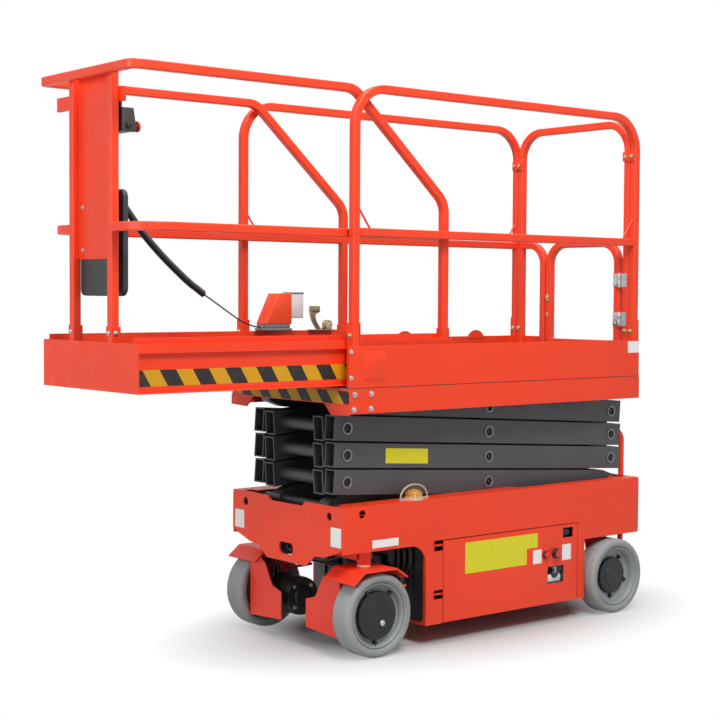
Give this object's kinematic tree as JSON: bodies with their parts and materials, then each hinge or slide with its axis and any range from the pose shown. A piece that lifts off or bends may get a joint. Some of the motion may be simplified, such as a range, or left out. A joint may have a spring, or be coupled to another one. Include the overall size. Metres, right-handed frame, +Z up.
{
  "type": "scissor lift",
  "caption": "Battery driven scissor lift with a railed deck that slides out over the steered wheels, an entry gate at the rear and swing-out side doors.",
  "frame": {"origin": "on the floor, midway between the axles and between the two sides", "axes": "+X towards the steered wheels and the slide-out deck, +Y to the left side, +Z up"},
  "size_m": [2.577, 0.82, 2.153],
  "materials": {
    "frame_paint": "satin",
    "door_paint": "satin",
    "fender_paint": "satin",
    "platform_paint": "satin",
    "rail_paint": "satin",
    "arm_paint": "satin",
    "deck_plate": "textured",
    "tyre": "matte",
    "rim_paint": "satin",
    "motor_paint": "satin",
    "chrome_rod": "polished",
    "zinc": "satin",
    "dark_plastic": "matte",
    "grey_plastic": "matte",
    "red_plastic": "matte",
    "latch": "satin",
    "amber_lens": "gloss",
    "beacon_plate": "matte",
    "cord": "matte"
  },
  "bodies": {
    "chassis": {"chassis_frame": "frame_paint", "battery_pack": "dark_plastic", "rear_ladder": "rail_paint", "beacon": "amber_lens", "beacon_base": "beacon_plate", "front_axle": "frame_paint", "rear_axle": "frame_paint"},
    "left_door": {"left_door": "door_paint", "ground_controls": "dark_plastic"},
    "right_door": {"right_door": "door_paint"},
    "left_knuckle": {"left_knuckle": "fender_paint", "left_drive_motor": "motor_paint"},
    "right_knuckle": {"right_knuckle": "fender_paint", "right_drive_motor": "motor_paint"},
    "tie_rod": {"tie_rod": "zinc"},
    "front_left_wheel": {"front_left_tyre": "tyre", "front_left_rim": "rim_paint"},
    "front_right_wheel": {"front_right_tyre": "tyre", "front_right_rim": "rim_paint"},
    "rear_left_wheel": {"rear_left_tyre": "tyre", "rear_left_rim": "rim_paint"},
    "rear_right_wheel": {"rear_right_tyre": "tyre", "rear_right_rim": "rim_paint"},
    "outer_arms_1": {"outer_arms_1": "arm_paint"},
    "inner_arms_1": {"inner_arms_1": "arm_paint"},
    "outer_arms_2": {"outer_arms_2": "arm_paint"},
    "inner_arms_2": {"inner_arms_2": "arm_paint"},
    "outer_arms_3": {"outer_arms_3": "arm_paint"},
    "inner_arms_3": {"inner_arms_3": "arm_paint"},
    "outer_arms_4": {"outer_arms_4": "arm_paint"},
    "inner_arms_4": {"inner_arms_4": "arm_paint"},
    "lift_barrel": {"lift_barrel": "motor_paint"},
    "lift_rod": {"lift_rod": "chrome_rod"},
    "platform": {"platform_frame": "platform_paint", "platform_floor": "deck_plate", "left_side_rail": "rail_paint", "right_side_rail": "rail_paint", "rear_rail": "rail_paint", "rail_clamps": "zinc", "gate_hinges": "zinc"},
    "entry_gate": {"entry_gate": "rail_paint"},
    "extension": {"extension_frame": "platform_paint", "extension_floor": "deck_plate", "extension_rails": "rail_paint", "front_panel": "platform_paint", "control_box": "grey_plastic", "document_box": "dark_plastic", "deck_box": "red_plastic", "lock_pedal": "latch", "control_cable": "cord", "curly_cord": "cord", "deck_cable": "cord"}
  },
  "joints": [
    {"name": "lift", "type": "hinge", "parent": "chassis", "child": "outer_arms_1", "pos_m": [-0.77, 0, 0.5535], "axis": [0, -1, 0], "range_deg": [0, 59]},
    {"name": "fold_1", "type": "hinge", "parent": "outer_arms_1", "child": "inner_arms_1", "pos_m": [-0.02403, 0, 0.605], "axis": [0, -1, 0], "range_deg": [-118, 0]},
    {"name": "fold_2", "type": "hinge", "parent": "outer_arms_1", "child": "inner_arms_2", "pos_m": [0.72195, 0, 0.6565], "axis": [0, -1, 0], "range_deg": [-118, 0]},
    {"name": "open_2", "type": "hinge", "parent": "inner_arms_2", "child": "outer_arms_2", "pos_m": [-0.02403, 0, 0.708], "axis": [0, -1, 0], "range_deg": [0, 118]},
    {"name": "open_3", "type": "hinge", "parent": "inner_arms_2", "child": "outer_arms_3", "pos_m": [-0.77, 0, 0.7595], "axis": [0, -1, 0], "range_deg": [0, 118]},
    {"name": "fold_3", "type": "hinge", "parent": "outer_arms_3", "child": "inner_arms_3", "pos_m": [-0.02403, 0, 0.811], "axis": [0, -1, 0], "range_deg": [-118, 0]},
    {"name": "fold_4", "type": "hinge", "parent": "outer_arms_3", "child": "inner_arms_4", "pos_m": [0.72195, 0, 0.8625], "axis": [0, -1, 0], "range_deg": [-118, 0]},
    {"name": "open_4", "type": "hinge", "parent": "inner_arms_4", "child": "outer_arms_4", "pos_m": [-0.02403, 0, 0.914], "axis": [0, -1, 0], "range_deg": [0, 118]},
    {"name": "platform_level", "type": "hinge", "parent": "inner_arms_4", "child": "platform", "pos_m": [-0.77, 0, 0.9655], "axis": [0, -1, 0], "range_deg": [0, 59]},
    {"name": "barrel_swing", "type": "hinge", "parent": "inner_arms_1", "child": "lift_barrel", "pos_m": [-0.70241, 0, 0.65183], "axis": [0, -1, 0], "range_deg": [0, 125.2]},
    {"name": "rod_stroke", "type": "slide", "parent": "lift_barrel", "child": "lift_rod", "axis": [0.9938, 0, 0.1114], "range_m": [0, 0.5842]},
    {"name": "steer_left", "type": "hinge", "parent": "chassis", "child": "left_knuckle", "pos_m": [0.669, 0.3, 0.35], "axis": [0, 0, 1], "range_deg": [-60, 60]},
    {"name": "steer_right", "type": "hinge", "parent": "chassis", "child": "right_knuckle", "pos_m": [0.669, -0.3, 0.35], "axis": [0, 0, 1], "range_deg": [-60, 60]},
    {"name": "tie_rod_turn", "type": "hinge", "parent": "left_knuckle", "child": "tie_rod", "pos_m": [0.484, 0.3, 0.264], "axis": [0, 0, 1], "range_deg": [-60, 60]},
    {"name": "front_left_spin", "type": "hinge", "parent": "left_knuckle", "child": "front_left_wheel", "pos_m": [0.669, 0.35, 0.16], "axis": [0, 1, 0], "continuous": true},
    {"name": "front_right_spin", "type": "hinge", "parent": "right_knuckle", "child": "front_right_wheel", "pos_m": [0.669, -0.35, 0.16], "axis": [0, 1, 0], "continuous": true},
    {"name": "rear_left_spin", "type": "hinge", "parent": "chassis", "child": "rear_left_wheel", "pos_m": [-0.669, 0.35, 0.16], "axis": [0, 1, 0], "continuous": true},
    {"name": "rear_right_spin", "type": "hinge", "parent": "chassis", "child": "rear_right_wheel", "pos_m": [-0.669, -0.35, 0.16], "axis": [0, 1, 0], "continuous": true},
    {"name": "left_door_hinge", "type": "hinge", "parent": "chassis", "child": "left_door", "pos_m": [0.35, 0.342, 0.24], "axis": [0, 0, -1], "range_deg": [0, 95]},
    {"name": "right_door_hinge", "type": "hinge", "parent": "chassis", "child": "right_door", "pos_m": [0.35, -0.342, 0.24], "axis": [0, 0, 1], "range_deg": [0, 95]},
    {"name": "gate_hinge", "type": "hinge", "parent": "platform", "child": "entry_gate", "pos_m": [-0.7717, 0.297, 1.35], "axis": [0, 0, 1], "range_deg": [0, 90]},
    {"name": "deck_slide", "type": "slide", "parent": "platform", "child": "extension", "axis": [1, 0, 0], "range_m": [-0.87, 0]}
  ],
  "couplings": [
    {"joint": "fold_1", "follows": "lift", "ratio": -2},
    {"joint": "fold_2", "follows": "lift", "ratio": -2},
    {"joint": "open_2", "follows": "lift", "ratio": 2},
    {"joint": "open_3", "follows": "lift", "ratio": 2},
    {"joint": "fold_3", "follows": "lift", "ratio": -2},
    {"joint": "fold_4", "follows": "lift", "ratio": -2},
    {"joint": "open_4", "follows": "lift", "ratio": 2},
    {"joint": "platform_level", "follows": "lift", "ratio": 1},
    {"joint": "barrel_swing", "follows": "lift", "ratio": 2.1211},
    {"joint": "rod_stroke", "follows": "lift", "m_per_rad": 0.56683},
    {"joint": "steer_right", "follows": "steer_left", "ratio": 1},
    {"joint": "tie_rod_turn", "follows": "steer_left", "ratio": -1}
  ]
}
